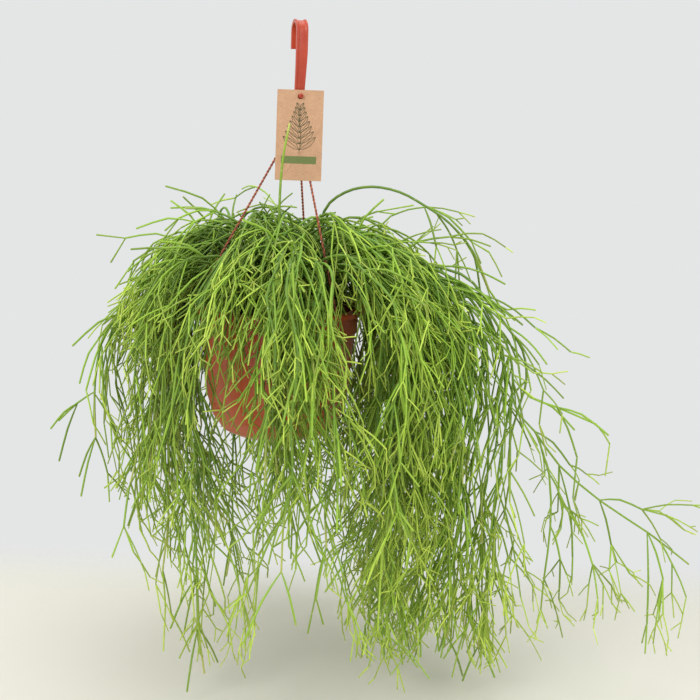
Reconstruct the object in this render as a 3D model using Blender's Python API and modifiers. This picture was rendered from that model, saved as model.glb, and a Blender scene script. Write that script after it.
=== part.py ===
"""A mistletoe cactus in its hanging pot, with the strings, the hook and a card tag.

The origin is the inside top of the hook, where the pot hangs, with +X to the right,
+Y to the back and +Z up. Lengths are in metres.
"""

import math
import random

import bmesh
import bpy
import numpy as np
from mathutils import Matrix

# The pot, a moulded shell with a flat rim
POT_X = -0.015  # the pot hangs a little to the left of its hook
RIM_Z = -0.305
POT_HEIGHT = 0.147
POT_RIM_RADIUS = 0.100
RIM_THICK = 0.0025
RIM_LIP = 0.005
COLLAR_RADIUS = 0.0885
COLLAR_HEIGHT = 0.028
WALL = 0.002
POT_FLOOR = 0.0025
STEP_OUT = 0.0015  # of the rim's turned-down lip
DRAIN_HOLE_RADIUS = 0.004
DRAIN_HOLE_SEAT = 0.030
CUTTER_DEPTH = 0.02
POT_SIDES = 24

# The potting soil
SOIL_DEPTH = 0.012  # from the rim down to the soil
SOIL_CROWN = 0.002
FIT_GAP = 0.0004
ROOT_DEPTH = 0.018
STEM_HOLE_RADIUS = 0.0034

# The hook, a moulded strap bent over at its top
ROD_RADIUS = 0.0095  # of the space inside the hook
STRAP_THICK = 0.004
STRAP_WIDTH = 0.0125
STRAP_END_SCALE = 0.8
STRAP_EDGE = 0.0018  # the raised edges on both sides of its groove
STRAP_GROOVE = 0.0012
HOOK_YAW = math.radians(17)
HOOK_BOTTOM = -0.105
FERRULE_RADIUS = 0.0046
FERRULE_HEIGHT = 0.009
PEG_RADIUS = 0.002
PEG_HEAD_RADIUS = 0.0026
PEG_REACH = 0.0145

# The tag, a card on the hook's peg
TAG_WIDTH = 0.050
TAG_HEIGHT = 0.097
TAG_THICK = 0.0006
TAG_HOLE_RADIUS = 0.003
TAG_HOLE_DOWN = 0.007  # from the tag's top edge
TAG_HOLE = (0.0032, -0.0101, -0.077)
TAG_TILT = math.radians(9)  # its foot stands out over the front string

# The three strings and their knots under the rim
STRING_RADIUS = 0.001
STRING_AZIMUTHS = {"string_left": 193, "string_front": 313, "string_back": 73}
STRING_TOP_RADIUS = 0.0024
STRING_HOLE_RADIUS = 0.00225
STRING_SEAT = 0.0945  # the holes' distance from the pot's axis
KNOT_RADIUS = 0.003

# The stems
SEED = 41
STEMS = 30
ROOT_SPREAD = 0.068
STEM_RADIUS = 0.0018
TIP_RADIUS = 0.0011
TWIG_RADIUS = 0.0013
JOINT_RADIUS = 0.0005
SIDES_PER_JOINT = (0, 1, 1, 1, 2, 2)
FORKED_SHARE = 0.26
CEILING = -0.180  # no drawn stem rises above this
FLOOR = -0.722  # nor hangs below this
LEFT_END = -0.262  # nor reaches further to the left than this
CLEARANCE = 0.0007

# Main stems that the plant is known by: their points, and then the side stems of each
STAND_OUT_STEMS = [
    # a long dark stem that rises highest and arches to the right
    {
        "main": [
            (0.024, 0.000), (0.025, 0.000, -0.250), (0.032, -0.002, -0.200), (0.054, -0.010, -0.178),
            (0.083, -0.020, -0.170), (0.113, -0.030, -0.174), (0.140, -0.035, -0.187),
            (0.168, -0.038, -0.205), (0.195, -0.040, -0.235), (0.214, -0.040, -0.275),
        ],
        "side": [],
    },
    # the right-hand stem with the stray shoot, the widest of all
    {
        "main": [
            (0.048, 0.012), (0.052, 0.011, -0.285), (0.075, 0.000, -0.250), (0.117, -0.030, -0.243),
            (0.176, -0.050, -0.264), (0.205, -0.060, -0.287), (0.224, -0.064, -0.312),
            (0.237, -0.068, -0.340), (0.242, -0.070, -0.370), (0.240, -0.070, -0.398),
            (0.235, -0.070, -0.440), (0.231, -0.070, -0.490), (0.229, -0.068, -0.550),
            (0.226, -0.066, -0.620), (0.222, -0.066, -0.680),
        ],
        "side": [
            [(0.240, -0.070, -0.396), (0.269, -0.070, -0.424), (0.300, -0.062, -0.464),
             (0.350, -0.052, -0.506), (0.410, -0.040, -0.546), (0.461, -0.030, -0.585)],
            [(0.408, -0.040, -0.545), (0.414, -0.040, -0.600), (0.417, -0.040, -0.655)],
            [(0.242, -0.070, -0.366), (0.261, -0.074, -0.385), (0.290, -0.078, -0.394),
             (0.333, -0.080, -0.411)],
            [(0.269, -0.070, -0.423), (0.287, -0.074, -0.470), (0.292, -0.076, -0.530),
             (0.289, -0.076, -0.590)],
            [(0.299, -0.062, -0.463), (0.318, -0.050, -0.520), (0.325, -0.046, -0.575)],
        ],
    },
    # a dark stem that arches low over the left of the rim
    {
        "main": [
            (-0.062, -0.008), (-0.064, -0.008, -0.285), (-0.080, -0.010, -0.262), (-0.105, -0.014, -0.266),
            (-0.132, -0.022, -0.280), (-0.160, -0.028, -0.299), (-0.185, -0.030, -0.316),
            (-0.204, -0.030, -0.338), (-0.213, -0.030, -0.370), (-0.217, -0.030, -0.410),
            (-0.216, -0.030, -0.460),
        ],
        "side": [
            [(-0.216, -0.030, -0.406), (-0.236, -0.032, -0.420), (-0.256, -0.034, -0.440)],
            [(-0.204, -0.030, -0.337), (-0.222, -0.034, -0.362), (-0.232, -0.036, -0.396)],
        ],
    },
    # a young shoot that still stands upright in front of the tag
    {
        "main": [
            (-0.013, -0.034), (-0.014, -0.035, -0.270), (-0.015, -0.040, -0.211),
            (-0.014, -0.044, -0.165), (-0.011, -0.045, -0.134), (-0.006, -0.045, -0.106),
        ],
        "side": [[(-0.015, -0.039, -0.222), (-0.022, -0.040, -0.200), (-0.027, -0.044, -0.192)]],
    },
    # a stem that leaves the crown high on the left and stays level
    {
        "main": [
            (-0.034, 0.014), (-0.036, 0.014, -0.265), (-0.050, 0.006, -0.226),
            (-0.089, 0.002, -0.204), (-0.121, 0.000, -0.202),
        ],
        "side": [[(-0.088, 0.002, -0.205), (-0.110, -0.010, -0.216), (-0.126, -0.018, -0.232)]],
    },
]

SOIL_Z = RIM_Z - SOIL_DEPTH
UP = np.array([0.0, 0.0, 1.0])


# Growth of the plant: every stem is a pair of its points and its radii


def unit(vector):
    return vector / np.linalg.norm(vector)


def around(radius, azimuth, z):
    """A point by its distance from the pot's axis, its direction in radians and its height."""
    return np.array([POT_X + radius * math.cos(azimuth), radius * math.sin(azimuth), z])


def hem(x):
    """The height of the curtain's lower edge, which hangs in two lobes."""
    left = math.exp(-(((x + 0.075) / 0.060) ** 2))
    right = math.exp(-(((x - 0.170) / 0.110) ** 2))
    return -0.520 - 0.190 * max(left, right)


def main_stem(draw, root, azimuth):
    """A stem that rises from the soil, arches over the rim and hangs."""
    root_radius = math.hypot(root[0] - POT_X, root[1])
    inner = 1 - root_radius / ROOT_SPREAD
    crown = -0.247 + 0.034 * inner + draw.uniform(-0.018, 0.008)
    rightward = max(0.0, math.cos(azimuth))
    reach = draw.uniform(0.118, 0.172) + 0.035 * inner + 0.034 * rightward
    shoulder = root_radius + (reach - root_radius) * draw.uniform(0.42, 0.55)
    drop = draw.uniform(0.10, 0.17)
    swirl = draw.uniform(-0.25, 0.25)
    rows = []
    for degrees in (28, 60, 90):
        turn = math.radians(degrees)
        out = root_radius + (shoulder - root_radius) * (1 - math.cos(turn))
        rows.append((out, SOIL_Z + (crown - SOIL_Z) * math.sin(turn)))
    for degrees in (24, 46, 66, 84):
        turn = math.radians(degrees)
        out = shoulder + (reach - shoulder) * math.sin(turn)
        rows.append((out, crown - drop * (1 - math.cos(turn))))
    lean = draw.uniform(-0.10, 0.06)
    tip = hem(around(reach, azimuth, 0)[0]) + 0.16 * draw.random() ** 2
    while rows[-1][1] > tip:
        rows.append((rows[-1][0] + 0.05 * lean, rows[-1][1] - draw.uniform(0.042, 0.058)))
    points = [np.array([*root, SOIL_Z - ROOT_DEPTH + FIT_GAP]), np.array([*root, SOIL_Z + 0.006])]
    for out, z in rows:
        if z < tip - 0.02:
            break
        turned = azimuth + swirl * (out - root_radius) / 0.15
        shift = np.array([draw.gauss(0, 0.0035), draw.gauss(0, 0.0035), draw.gauss(0, 0.002)])
        points.append(around(out, turned, z) + shift)
    return np.array(points)


def side_stem(draw, start, heading, length):
    """A side stem that leaves its joint at a slant and sinks under its own weight."""
    across = unit(np.cross(heading, unit(np.array([draw.gauss(0, 1) for _ in range(3)]))))
    spread = math.radians(draw.uniform(22, 44))
    way = unit(heading * math.cos(spread) + across * math.sin(spread))
    middle = start + way * 0.45 * length
    end = middle + unit(way - 0.45 * UP) * 0.55 * length
    return np.array([start, middle, end])


def along(points, share):
    """A point on a line at a share of its number of spans, and the heading there."""
    place = share * (len(points) - 1)
    span = min(int(place), len(points) - 2)
    heading = unit(points[span + 1] - points[span])
    return points[span] + (points[span + 1] - points[span]) * (place - span), heading


def distances(lines, a, b):
    """The distance from the line a-b to each of the lines, an array of pairs of points."""
    one, two, back = b - a, lines[:, 1] - lines[:, 0], a - lines[:, 0]
    length, lengths = one @ one, (two * two).sum(1)
    cross, f, c = two @ one, (two * back).sum(1), back @ one
    s = np.clip((cross * f - c * lengths) / np.maximum(length * lengths - cross**2, 1e-15), 0, 1)
    t = np.clip((cross * s + f) / lengths, 0, 1)
    s = np.clip((cross * t - c) / length, 0, 1)
    return np.linalg.norm(back + s[:, None] * one - t[:, None] * two, axis=1)


def clear_of_pot(points):
    """Whether a line keeps out of the pot's walls and of the soil."""
    for a, b in zip(points[:-1], points[1:]):
        step = a + (b - a) * np.linspace(0, 1, 9)[:, None]
        out = np.hypot(step[:, 0] - POT_X, step[:, 1])
        beside = (step[:, 2] < RIM_Z + 0.003) & (step[:, 2] > RIM_Z - POT_HEIGHT - 0.004)
        over_soil = (step[:, 2] > SOIL_Z + 0.0035) & (out < COLLAR_RADIUS - 0.008)
        if (beside & (out < POT_RIM_RADIUS + 0.0035) & ~over_soil).any():
            return False
    return True


def in_window(point):
    """Whether a point is in front of the places where the pot shows between the stems."""
    x, y, z = point
    left = -0.100 < x < -0.028 and -0.455 < z < -0.300
    right = 0.048 < x < 0.072 and -0.355 < z < -0.305
    return y < -0.03 and (left or right)


def is_clear(points, radius, taken):
    """Whether a stem keeps clear of the pot and of everything already in place."""
    low, high = points.min(0), points.max(0)
    if not clear_of_pot(points) or high[2] > CEILING or low[2] < FLOOR or low[0] < LEFT_END:
        return False
    lines, radii = taken
    for a, b in zip(points[:-1], points[1:]):
        low, high = np.minimum(a, b) - 0.01, np.maximum(a, b) + 0.01
        near = ((lines.min(1) < high) & (lines.max(1) > low)).all(1)
        if near.any() and (distances(lines[near], a, b) - radii[near]).min() < radius + CLEARANCE:
            return False
    return True


def add_taken(taken, stems):
    """The lines in place, with those of more stems added."""
    lines = [np.stack([points[:-1], points[1:]], 1) for points, _ in stems]
    radii = [np.maximum(width[:-1], width[1:]) for _, width in stems]
    return np.concatenate([taken[0], *lines]), np.concatenate([taken[1], *radii])


def tapered(points, root_radius, tip_radius):
    """A stem: its points, and a radius at each that narrows along it."""
    return points, np.linspace(root_radius, tip_radius, len(points))


def jointed(points, radius):
    """A side stem: its points, and its radii from the narrow joint that it grows out of."""
    radii = np.linspace(radius, TIP_RADIUS, len(points))
    radii[0] = JOINT_RADIUS
    return points, radii


def grow_sides(draw, main, taken, joints):
    """The side stems of a main stem, and the forks at their ends."""
    grown = []
    for joint in joints:
        for _ in range(draw.choice(SIDES_PER_JOINT)):
            for _ in range(8):
                start, heading = along(main, (joint - 0.03) / (len(main) - 1))
                stem = side_stem(draw, start, heading, draw.uniform(0.040, 0.078))
                if is_clear(stem, TWIG_RADIUS, taken):
                    grown.append(jointed(stem, TWIG_RADIUS))
                    break
            else:
                continue
            if draw.random() > FORKED_SHARE:
                continue
            for _ in range(2):
                start, heading = along(stem, 0.98)
                fork = side_stem(draw, start, heading, draw.uniform(0.022, 0.045))[[0, 2]]
                if is_clear(fork, TIP_RADIUS, taken):
                    grown.append(jointed(fork, TIP_RADIUS))
    return grown


def root_places():
    """The places of the drawn stems' roots on the soil, clear of the stand-out stems'."""
    golden = math.pi * (3 - math.sqrt(5))
    kept = [np.array(stem["main"][0]) for stem in STAND_OUT_STEMS]
    for number in range(3 * STEMS):
        radius = ROOT_SPREAD * math.sqrt((number + 0.5) / (STEMS + 6))
        azimuth = number * golden
        place = around(radius, azimuth, 0)[:2]
        if radius < ROOT_SPREAD and min(np.linalg.norm(place - other) for other in kept) > 0.009:
            kept.append(place)
            yield place, azimuth


def string_line(azimuth_degrees):
    """The points of one string, from the ferrule to its knot under the rim."""
    azimuth = math.radians(azimuth_degrees)
    outward = np.array([math.cos(azimuth), math.sin(azimuth), 0.0])
    hole = around(STRING_SEAT, azimuth, RIM_Z)
    top = outward * STRING_TOP_RADIUS + UP * (HOOK_BOTTOM - 0.0003 - STRING_RADIUS / 2)
    return np.array([top, hole + 0.004 * UP, hole - (RIM_THICK + KNOT_RADIUS) * UP])


def grow_plant():
    """Every spray of the plant, each a list of stems with its main stem first."""
    draw = random.Random(SEED)
    strings = [string_line(azimuth) for azimuth in STRING_AZIMUTHS.values()]
    taken = (np.zeros((0, 2, 3)), np.zeros(0))
    taken = add_taken(taken, [tapered(line, STRING_RADIUS, STRING_RADIUS) for line in strings])
    sprays = []
    for known in STAND_OUT_STEMS:
        root = known["main"][0]
        base = [(*root, SOIL_Z - ROOT_DEPTH + FIT_GAP), (*root, SOIL_Z + 0.006)]
        main = np.array(base + known["main"][1:])
        sides = [np.array(points) for points in known["side"]]
        stems = [tapered(main, STEM_RADIUS, TIP_RADIUS)]
        stems += [jointed(side, TWIG_RADIUS) for side in sides]
        sprays.append(stems)
        taken = add_taken(taken, stems)
    for stems, known in zip(sprays, STAND_OUT_STEMS):
        others = add_taken((np.zeros((0, 2, 3)), np.zeros(0)), sum((s for s in sprays if s is not stems), []))
        others = add_taken(others, [tapered(line, STRING_RADIUS, STRING_RADIUS) for line in strings])
        main = stems[0][0]
        grown = grow_sides(draw, main, others, range(4, len(main)))
        for side in known["side"]:
            grown += grow_sides(draw, np.array(side), others, range(1, len(side) - 1))
        stems += grown
        taken = add_taken(taken, grown)
    for root, azimuth in root_places():
        if len(sprays) == STEMS + len(STAND_OUT_STEMS):
            break
        for _ in range(60):
            main = main_stem(draw, root, azimuth + draw.gauss(0, 0.22))
            if is_clear(main[1:], STEM_RADIUS, taken) and not any(in_window(spot) for spot in main):
                break
        else:
            continue
        stems = [tapered(main, STEM_RADIUS, TIP_RADIUS)]
        stems += grow_sides(draw, main, taken, range(4, len(main)))
        sprays.append(stems)
        taken = add_taken(taken, stems)
    return sprays


# Modelling tools


def collection(name):
    group = bpy.data.collections.new(name)
    bpy.context.scene.collection.children.link(group)
    return group


def material(name, colour, roughness):
    finish = bpy.data.materials.new(name)
    finish.use_nodes = True
    shader = finish.node_tree.nodes["Principled BSDF"]
    shader.inputs["Base Color"].default_value = (*colour, 1)
    shader.inputs["Roughness"].default_value = roughness
    shader.inputs["Metallic"].default_value = 0
    return finish


def place(name, data, group, finish=None):
    """A new object in a collection, with its material."""
    obj = bpy.data.objects.new(name, data)
    group.objects.link(obj)
    if finish:
        data.materials.append(finish)
    return obj


def line_curve(name, points, radii=None, cyclic=False):
    """A curve of straight spans, flat where its points have two numbers."""
    curve = bpy.data.curves.new(name, "CURVE")
    curve.dimensions = "3D" if len(points[0]) == 3 else "2D"
    spline = curve.splines.new("POLY")
    spline.points.add(len(points) - 1)
    for number, point in enumerate(points):
        spline.points[number].co = (*point, *([0] * (3 - len(point))), 1)
        spline.points[number].radius = 1 if radii is None else radii[number]
    spline.use_cyclic_u = cyclic
    return curve


def as_mesh(obj, group):
    """Turns a curve object into a mesh object of the same name with welded caps."""
    bpy.context.view_layer.update()
    name = obj.name
    mesh = bpy.data.meshes.new_from_object(obj.evaluated_get(bpy.context.evaluated_depsgraph_get()))
    shape = bmesh.new()
    shape.from_mesh(mesh)
    bmesh.ops.remove_doubles(shape, verts=shape.verts, dist=1e-6)
    bmesh.ops.recalc_face_normals(shape, faces=shape.faces)
    shape.to_mesh(mesh)
    shape.free()
    matrix = obj.matrix_world.copy()
    curve = obj.data
    bpy.data.objects.remove(obj)
    bpy.data.curves.remove(curve)
    made = place(name, mesh, group)
    made.matrix_world = matrix
    return made


def fuse(obj, pieces, solver="EXACT"):
    """Joins a collection's solids to an object by one Boolean union, and removes them."""
    union = obj.modifiers.new("union", "BOOLEAN")
    union.operation = "UNION"
    union.operand_type = "COLLECTION"
    union.collection = pieces
    union.solver = solver
    bpy.context.view_layer.update()
    fused = bpy.data.meshes.new_from_object(obj.evaluated_get(bpy.context.evaluated_depsgraph_get()))
    obj.modifiers.remove(union)
    old = obj.data
    obj.data = fused
    bpy.data.meshes.remove(old)
    for piece in list(pieces.objects):
        mesh = piece.data
        bpy.data.objects.remove(piece)
        bpy.data.meshes.remove(mesh)
    bpy.data.collections.remove(pieces)


def rod(name, radius, length, sides, group):
    """A solid cylinder along Z round its own origin."""
    mesh = bpy.data.meshes.new(name)
    shape = bmesh.new()
    bmesh.ops.create_cone(
        shape, cap_ends=True, segments=sides, radius1=radius, radius2=radius, depth=length
    )
    shape.to_mesh(mesh)
    shape.free()
    return place(name, mesh, group)


def cut_with(obj, cutters):
    """Cuts a collection's solids out of an object."""
    for cutter in cutters.objects:
        cutter.hide_render = True
        cutter.display_type = "WIRE"
    cut = obj.modifiers.new("holes", "BOOLEAN")
    cut.operation = "DIFFERENCE"
    cut.operand_type = "COLLECTION"
    cut.collection = cutters
    cut.solver = "EXACT"


def turned(name, profile, group, finish):
    """A solid turned round the pot's axis from its profile, a list of radii and heights."""
    mesh = bpy.data.meshes.new(name)
    edges = [(number, number + 1) for number in range(len(profile) - 1)]
    mesh.from_pydata([(radius, 0, z) for radius, z in profile], edges, [])
    obj = place(name, mesh, group, finish)
    obj.location = (POT_X, 0, 0)
    screw = obj.modifiers.new("turn", "SCREW")
    screw.steps = POT_SIDES
    screw.render_steps = POT_SIDES
    screw.use_merge_vertices = True
    screw.merge_threshold = 0.00005
    screw.use_smooth_shade = True
    return obj


# The pieces


def inner_profile(offset):
    """The inside of the pot's wall from the floor's middle up, moved in by an offset."""
    foot = RIM_Z - POT_HEIGHT
    rows = [(0.0, 0.0), (0.047, 0.0), (0.060, 0.008), (0.070, 0.022), (0.0765, 0.042)]
    rows = [(radius, foot + POT_FLOOR + rise) for radius, rise in rows]
    rows += [(COLLAR_RADIUS - WALL - 0.002, RIM_Z - COLLAR_HEIGHT - 0.004)]
    inside = [(max(radius - offset, 0.0), z + offset) for radius, z in rows]
    return inside


def make_pot(group, cutters):
    foot = RIM_Z - POT_HEIGHT
    profile = inner_profile(0)
    profile += [
        (COLLAR_RADIUS - WALL, RIM_Z),
        (POT_RIM_RADIUS, RIM_Z),
        (POT_RIM_RADIUS, RIM_Z - RIM_LIP),
        (POT_RIM_RADIUS - STEP_OUT, RIM_Z - RIM_LIP),
        (POT_RIM_RADIUS - STEP_OUT, RIM_Z - RIM_THICK),
        (COLLAR_RADIUS, RIM_Z - RIM_THICK),
        (COLLAR_RADIUS - 0.0005, RIM_Z - COLLAR_HEIGHT),
        (COLLAR_RADIUS - 0.0025, RIM_Z - COLLAR_HEIGHT - 0.002),
        (0.0790, foot + 0.042),
        (0.0735, foot + 0.022),
        (0.0630, foot + 0.007),
        (0.0490, foot),
        (0.0, foot),
    ]
    pot = turned("pot", profile, group, material("moulded_terracotta_plastic", (0.55, 0.11, 0.045), 0.25))
    for azimuth in STRING_AZIMUTHS.values():
        hole = rod("string_hole_cutter", STRING_HOLE_RADIUS, CUTTER_DEPTH, 10, cutters)
        hole.location = around(STRING_SEAT, math.radians(azimuth), RIM_Z)
    for quarter in range(4):
        hole = rod("drain_hole_cutter", DRAIN_HOLE_RADIUS, CUTTER_DEPTH, 8, cutters)
        hole.location = around(DRAIN_HOLE_SEAT, math.radians(45 + 90 * quarter), foot)
    cut_with(pot, cutters)
    pot.data.set_sharp_from_angle(angle=math.radians(35))


def make_soil(group, cutters, sprays):
    profile = inner_profile(FIT_GAP)
    profile += [(COLLAR_RADIUS - WALL - 0.0015, SOIL_Z - SOIL_CROWN), (0.0, SOIL_Z)]
    soil = turned("potting_soil", profile, group, material("peat_soil", (0.035, 0.022, 0.014), 0.95))
    for stems in sprays:
        root = stems[0][0][0]
        depth = ROOT_DEPTH + CUTTER_DEPTH
        hole = rod("stem_hole_cutter", STEM_HOLE_RADIUS, depth, 6, cutters)
        hole.location = (root[0], root[1], SOIL_Z - ROOT_DEPTH + depth / 2)
    cut_with(soil, cutters)


def make_hook(group):
    """The strap is drawn flat in its own plane, set upright and turned about the plumb line."""
    half, edge, groove = STRAP_WIDTH / 2, STRAP_EDGE, STRAP_GROOVE
    face = STRAP_THICK / 2
    section = [
        (-face, -half), (-face, half), (face, half), (face, half - edge),
        (face - groove, half - edge - groove), (face - groove, -half + edge + groove),
        (face, -half + edge), (face, -half),
    ]
    bend = ROD_RADIUS + face
    path = [(bend, -0.027), (bend, -0.018)]
    path += [
        (bend * math.cos(math.radians(turn)), -ROD_RADIUS + bend * math.sin(math.radians(turn)))
        for turn in range(0, 181, 20)
    ]
    path += [(-0.0112, -0.030), (-0.0088, -0.050), (-0.0055, -0.070), (-0.0025, -0.088), (0.0, -0.103)]
    share = [min(1, max(0, (-0.03 - z) / 0.06)) for _, z in path]
    widths = [1 - (1 - STRAP_END_SCALE) * part for part in share]
    profile = place("strap_section", line_curve("strap_section", section, cyclic=True), group)
    curve = line_curve("hook", path, widths)
    curve.bevel_mode = "OBJECT"
    curve.bevel_object = profile
    curve.use_fill_caps = True
    strap = place("hook", curve, group)
    strap.matrix_world = Matrix.Rotation(HOOK_YAW + math.pi / 2, 4, "Z") @ Matrix.Rotation(math.pi / 2, 4, "X")
    hook = as_mesh(strap, group)
    hook.data.materials.append(material("moulded_red_plastic", (0.62, 0.09, 0.04), 0.3))
    bpy.data.objects.remove(profile)
    pieces = collection("hook_pieces")
    ferrule = rod("ferrule", FERRULE_RADIUS, FERRULE_HEIGHT, 16, pieces)
    ferrule.location = (0, 0, HOOK_BOTTOM + FERRULE_HEIGHT / 2)
    outward = Matrix.Rotation(HOOK_YAW, 4, "Z") @ Matrix.Rotation(math.pi / 2, 4, "X")
    peg_z = TAG_HOLE[2] + TAG_HOLE_RADIUS - PEG_RADIUS - 0.0003
    for name, radius, start, end in (
        ("peg", PEG_RADIUS, 0.004, PEG_REACH),
        ("peg_head", PEG_HEAD_RADIUS, PEG_REACH - 0.0012, PEG_REACH),
    ):
        part = rod(name, radius, end - start, 12, pieces)
        middle = outward @ Matrix.Translation((0, 0, (start + end) / 2))
        part.matrix_world = Matrix.Translation((0, 0, peg_z)) @ middle
    fuse(hook, pieces)


def make_tag(group):
    """The card with its round hole, drawn flat round the hole's middle and then stood up."""
    top, foot, half = TAG_HOLE_DOWN, TAG_HOLE_DOWN - TAG_HEIGHT, TAG_WIDTH / 2
    corners = [(-half, top), (half, top), (half, foot), (-half, foot)]
    curve = line_curve("tag", corners, cyclic=True)
    hole = curve.splines.new("POLY")
    hole.points.add(15)
    for number, point in enumerate(hole.points):
        turn = math.tau * number / 16
        point.co = (TAG_HOLE_RADIUS * math.cos(turn), TAG_HOLE_RADIUS * math.sin(turn), 0, 1)
    hole.use_cyclic_u = True
    curve.fill_mode = "BOTH"
    curve.extrude = TAG_THICK / 2
    card = place("tag", curve, group)
    card.location = TAG_HOLE
    card.rotation_euler = (math.pi / 2 - TAG_TILT, 0, 0)
    tag = as_mesh(card, group)
    tag.data.materials.append(material("kraft_card", (0.58, 0.38, 0.22), 0.85))


def make_string(name, azimuth, group, finish):
    line = string_line(azimuth)
    curve = line_curve(name, [tuple(point) for point in line])
    curve.bevel_depth = STRING_RADIUS
    curve.bevel_resolution = 2
    curve.use_fill_caps = True
    string = as_mesh(place(name, curve, group), group)
    string.data.materials.append(finish)
    knots = collection("knots")
    mesh = bpy.data.meshes.new("knot")
    shape = bmesh.new()
    bmesh.ops.create_icosphere(shape, subdivisions=1, radius=KNOT_RADIUS)
    shape.to_mesh(mesh)
    shape.free()
    knot = place("knot", mesh, knots)
    knot.location = line[-1] - 0.0003 * UP
    fuse(string, knots)


def make_spray(number, stems, group, three_sided):
    """One plant stem with all its branches, fused into one solid."""
    name = f"spray_{number:02d}"
    branches = collection("branches")
    objects = []
    for points, radii in stems:
        curve = line_curve(name, [tuple(point) for point in points], list(radii))
        curve.bevel_mode = "OBJECT"
        curve.bevel_object = three_sided
        curve.use_fill_caps = True
        objects.append(place(name, curve, branches))
    solids = [as_mesh(obj, branches) for obj in objects]
    spray = solids[0]
    branches.objects.unlink(spray)
    group.objects.link(spray)
    spray.name = name
    shade = random.Random(number).uniform(0.8, 1.2)
    spray.data.materials.append(material(f"stem_{number:02d}", (0.16 * shade, 0.36 * shade, 0.04), 0.5))
    fuse(spray, branches, "MANIFOLD")


def main():
    for obj in list(bpy.data.objects):
        bpy.data.objects.remove(obj)
    parts = collection("hanging_mistletoe_cactus")
    pot_cutters, soil_cutters, guides = (collection(n) for n in ("pot_cutters", "soil_cutters", "guides"))
    sprays = grow_plant()
    corners = [(math.cos(math.radians(turn)), math.sin(math.radians(turn))) for turn in (90, 210, 330)]
    triangle = place("stem_section", line_curve("stem_section", corners, cyclic=True), guides)
    for number, stems in enumerate(sprays, 1):
        make_spray(number, stems, parts, triangle)
    bpy.data.objects.remove(triangle)
    make_hook(parts)
    make_tag(parts)
    twine = material("twisted_terracotta_twine", (0.35, 0.08, 0.04), 0.7)
    for name, azimuth in STRING_AZIMUTHS.items():
        make_string(name, azimuth, parts, twine)
    make_pot(parts, pot_cutters)
    make_soil(parts, soil_cutters, sprays)


main()
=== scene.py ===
import math
import random

import bmesh
import bpy
import numpy as np
from mathutils import Matrix, Vector, noise


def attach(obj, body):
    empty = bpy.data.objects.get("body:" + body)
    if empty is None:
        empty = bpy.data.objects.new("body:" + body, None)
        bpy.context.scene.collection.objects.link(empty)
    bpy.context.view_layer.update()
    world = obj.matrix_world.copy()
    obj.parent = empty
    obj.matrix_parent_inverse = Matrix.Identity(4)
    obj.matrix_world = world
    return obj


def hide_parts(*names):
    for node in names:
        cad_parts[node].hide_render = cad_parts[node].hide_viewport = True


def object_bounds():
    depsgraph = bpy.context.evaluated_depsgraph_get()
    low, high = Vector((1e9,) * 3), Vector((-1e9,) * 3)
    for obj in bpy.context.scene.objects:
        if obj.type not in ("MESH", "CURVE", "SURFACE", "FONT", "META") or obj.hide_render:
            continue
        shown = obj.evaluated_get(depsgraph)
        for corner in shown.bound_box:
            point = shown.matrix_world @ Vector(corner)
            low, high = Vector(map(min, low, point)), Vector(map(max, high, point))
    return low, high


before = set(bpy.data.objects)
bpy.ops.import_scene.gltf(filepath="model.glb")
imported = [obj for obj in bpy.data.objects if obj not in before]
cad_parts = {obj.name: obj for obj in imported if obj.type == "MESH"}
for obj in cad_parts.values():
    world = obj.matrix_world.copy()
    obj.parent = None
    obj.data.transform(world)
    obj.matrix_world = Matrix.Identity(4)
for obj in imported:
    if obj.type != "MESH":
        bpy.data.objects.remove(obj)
cad_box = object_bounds()

# The studio
# A pale, faintly warm table top that runs back into a cool white wall, under large soft lights.
# The camera stands a little above the rim of the pot, tipped down and a touch off level.

CAMERA_PLACE = (0.0658, -1.3281, -0.0846)
CAMERA_TIP = math.radians(11.515)
CAMERA_ROLL = math.radians(2.0)
FOCAL_WIDTHS = 1200 / 700  # the focal length in widths of the picture
SENSOR_MM = 36
FLOOR_Z = -0.7291
FLOOR_SIZE = 14.0
TABLE_EDGE_Y = 0.26  # where the warm table top meets the cool wall
TABLE_EDGE_BLUR = 0.10
TABLE_FADE = (1.2, 3.0)  # how far from the hook's seat the table top starts and ends its fading
LIGHTS_AIM_Z = -0.4


def linear(hex_colour):
    """An sRGB hex value as linear red, green, blue and alpha."""
    values = [int(hex_colour[place:place + 2], 16) / 255 for place in (1, 3, 5)]
    return (*[v / 12.92 if v <= 0.04045 else ((v + 0.055) / 1.055) ** 2.4 for v in values], 1.0)


def add_node(tree, kind, inputs=(), **settings):
    """Adds a shader node with its settings, and sets or links its inputs by name or number."""
    made = tree.nodes.new("ShaderNode" + kind)
    for name, value in settings.items():
        setattr(made, name, value)
    for name, value in inputs:
        if isinstance(value, bpy.types.NodeSocket):
            tree.links.new(value, made.inputs[name])
        else:
            made.inputs[name].default_value = value
    return made


def finish_named(name, **numbers):
    """A material by its name, its node tree and its shader, with plain numbers set on the shader."""
    made = bpy.data.materials.new(name)
    made.use_nodes = True
    shader = made.node_tree.nodes["Principled BSDF"]
    for key, value in numbers.items():
        shader.inputs[key.replace("_", " ")].default_value = value
    return made, made.node_tree, shader


def ranged(tree, value, source=(0.0, 1.0), target=(0.0, 1.0), **settings):
    """A value carried from one range of numbers to another and held within it."""
    ends = [("From Min", source[0]), ("From Max", source[1]), ("To Min", target[0]), ("To Max", target[1])]
    return add_node(tree, "MapRange", [("Value", value), *ends], **settings).outputs["Result"]


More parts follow.
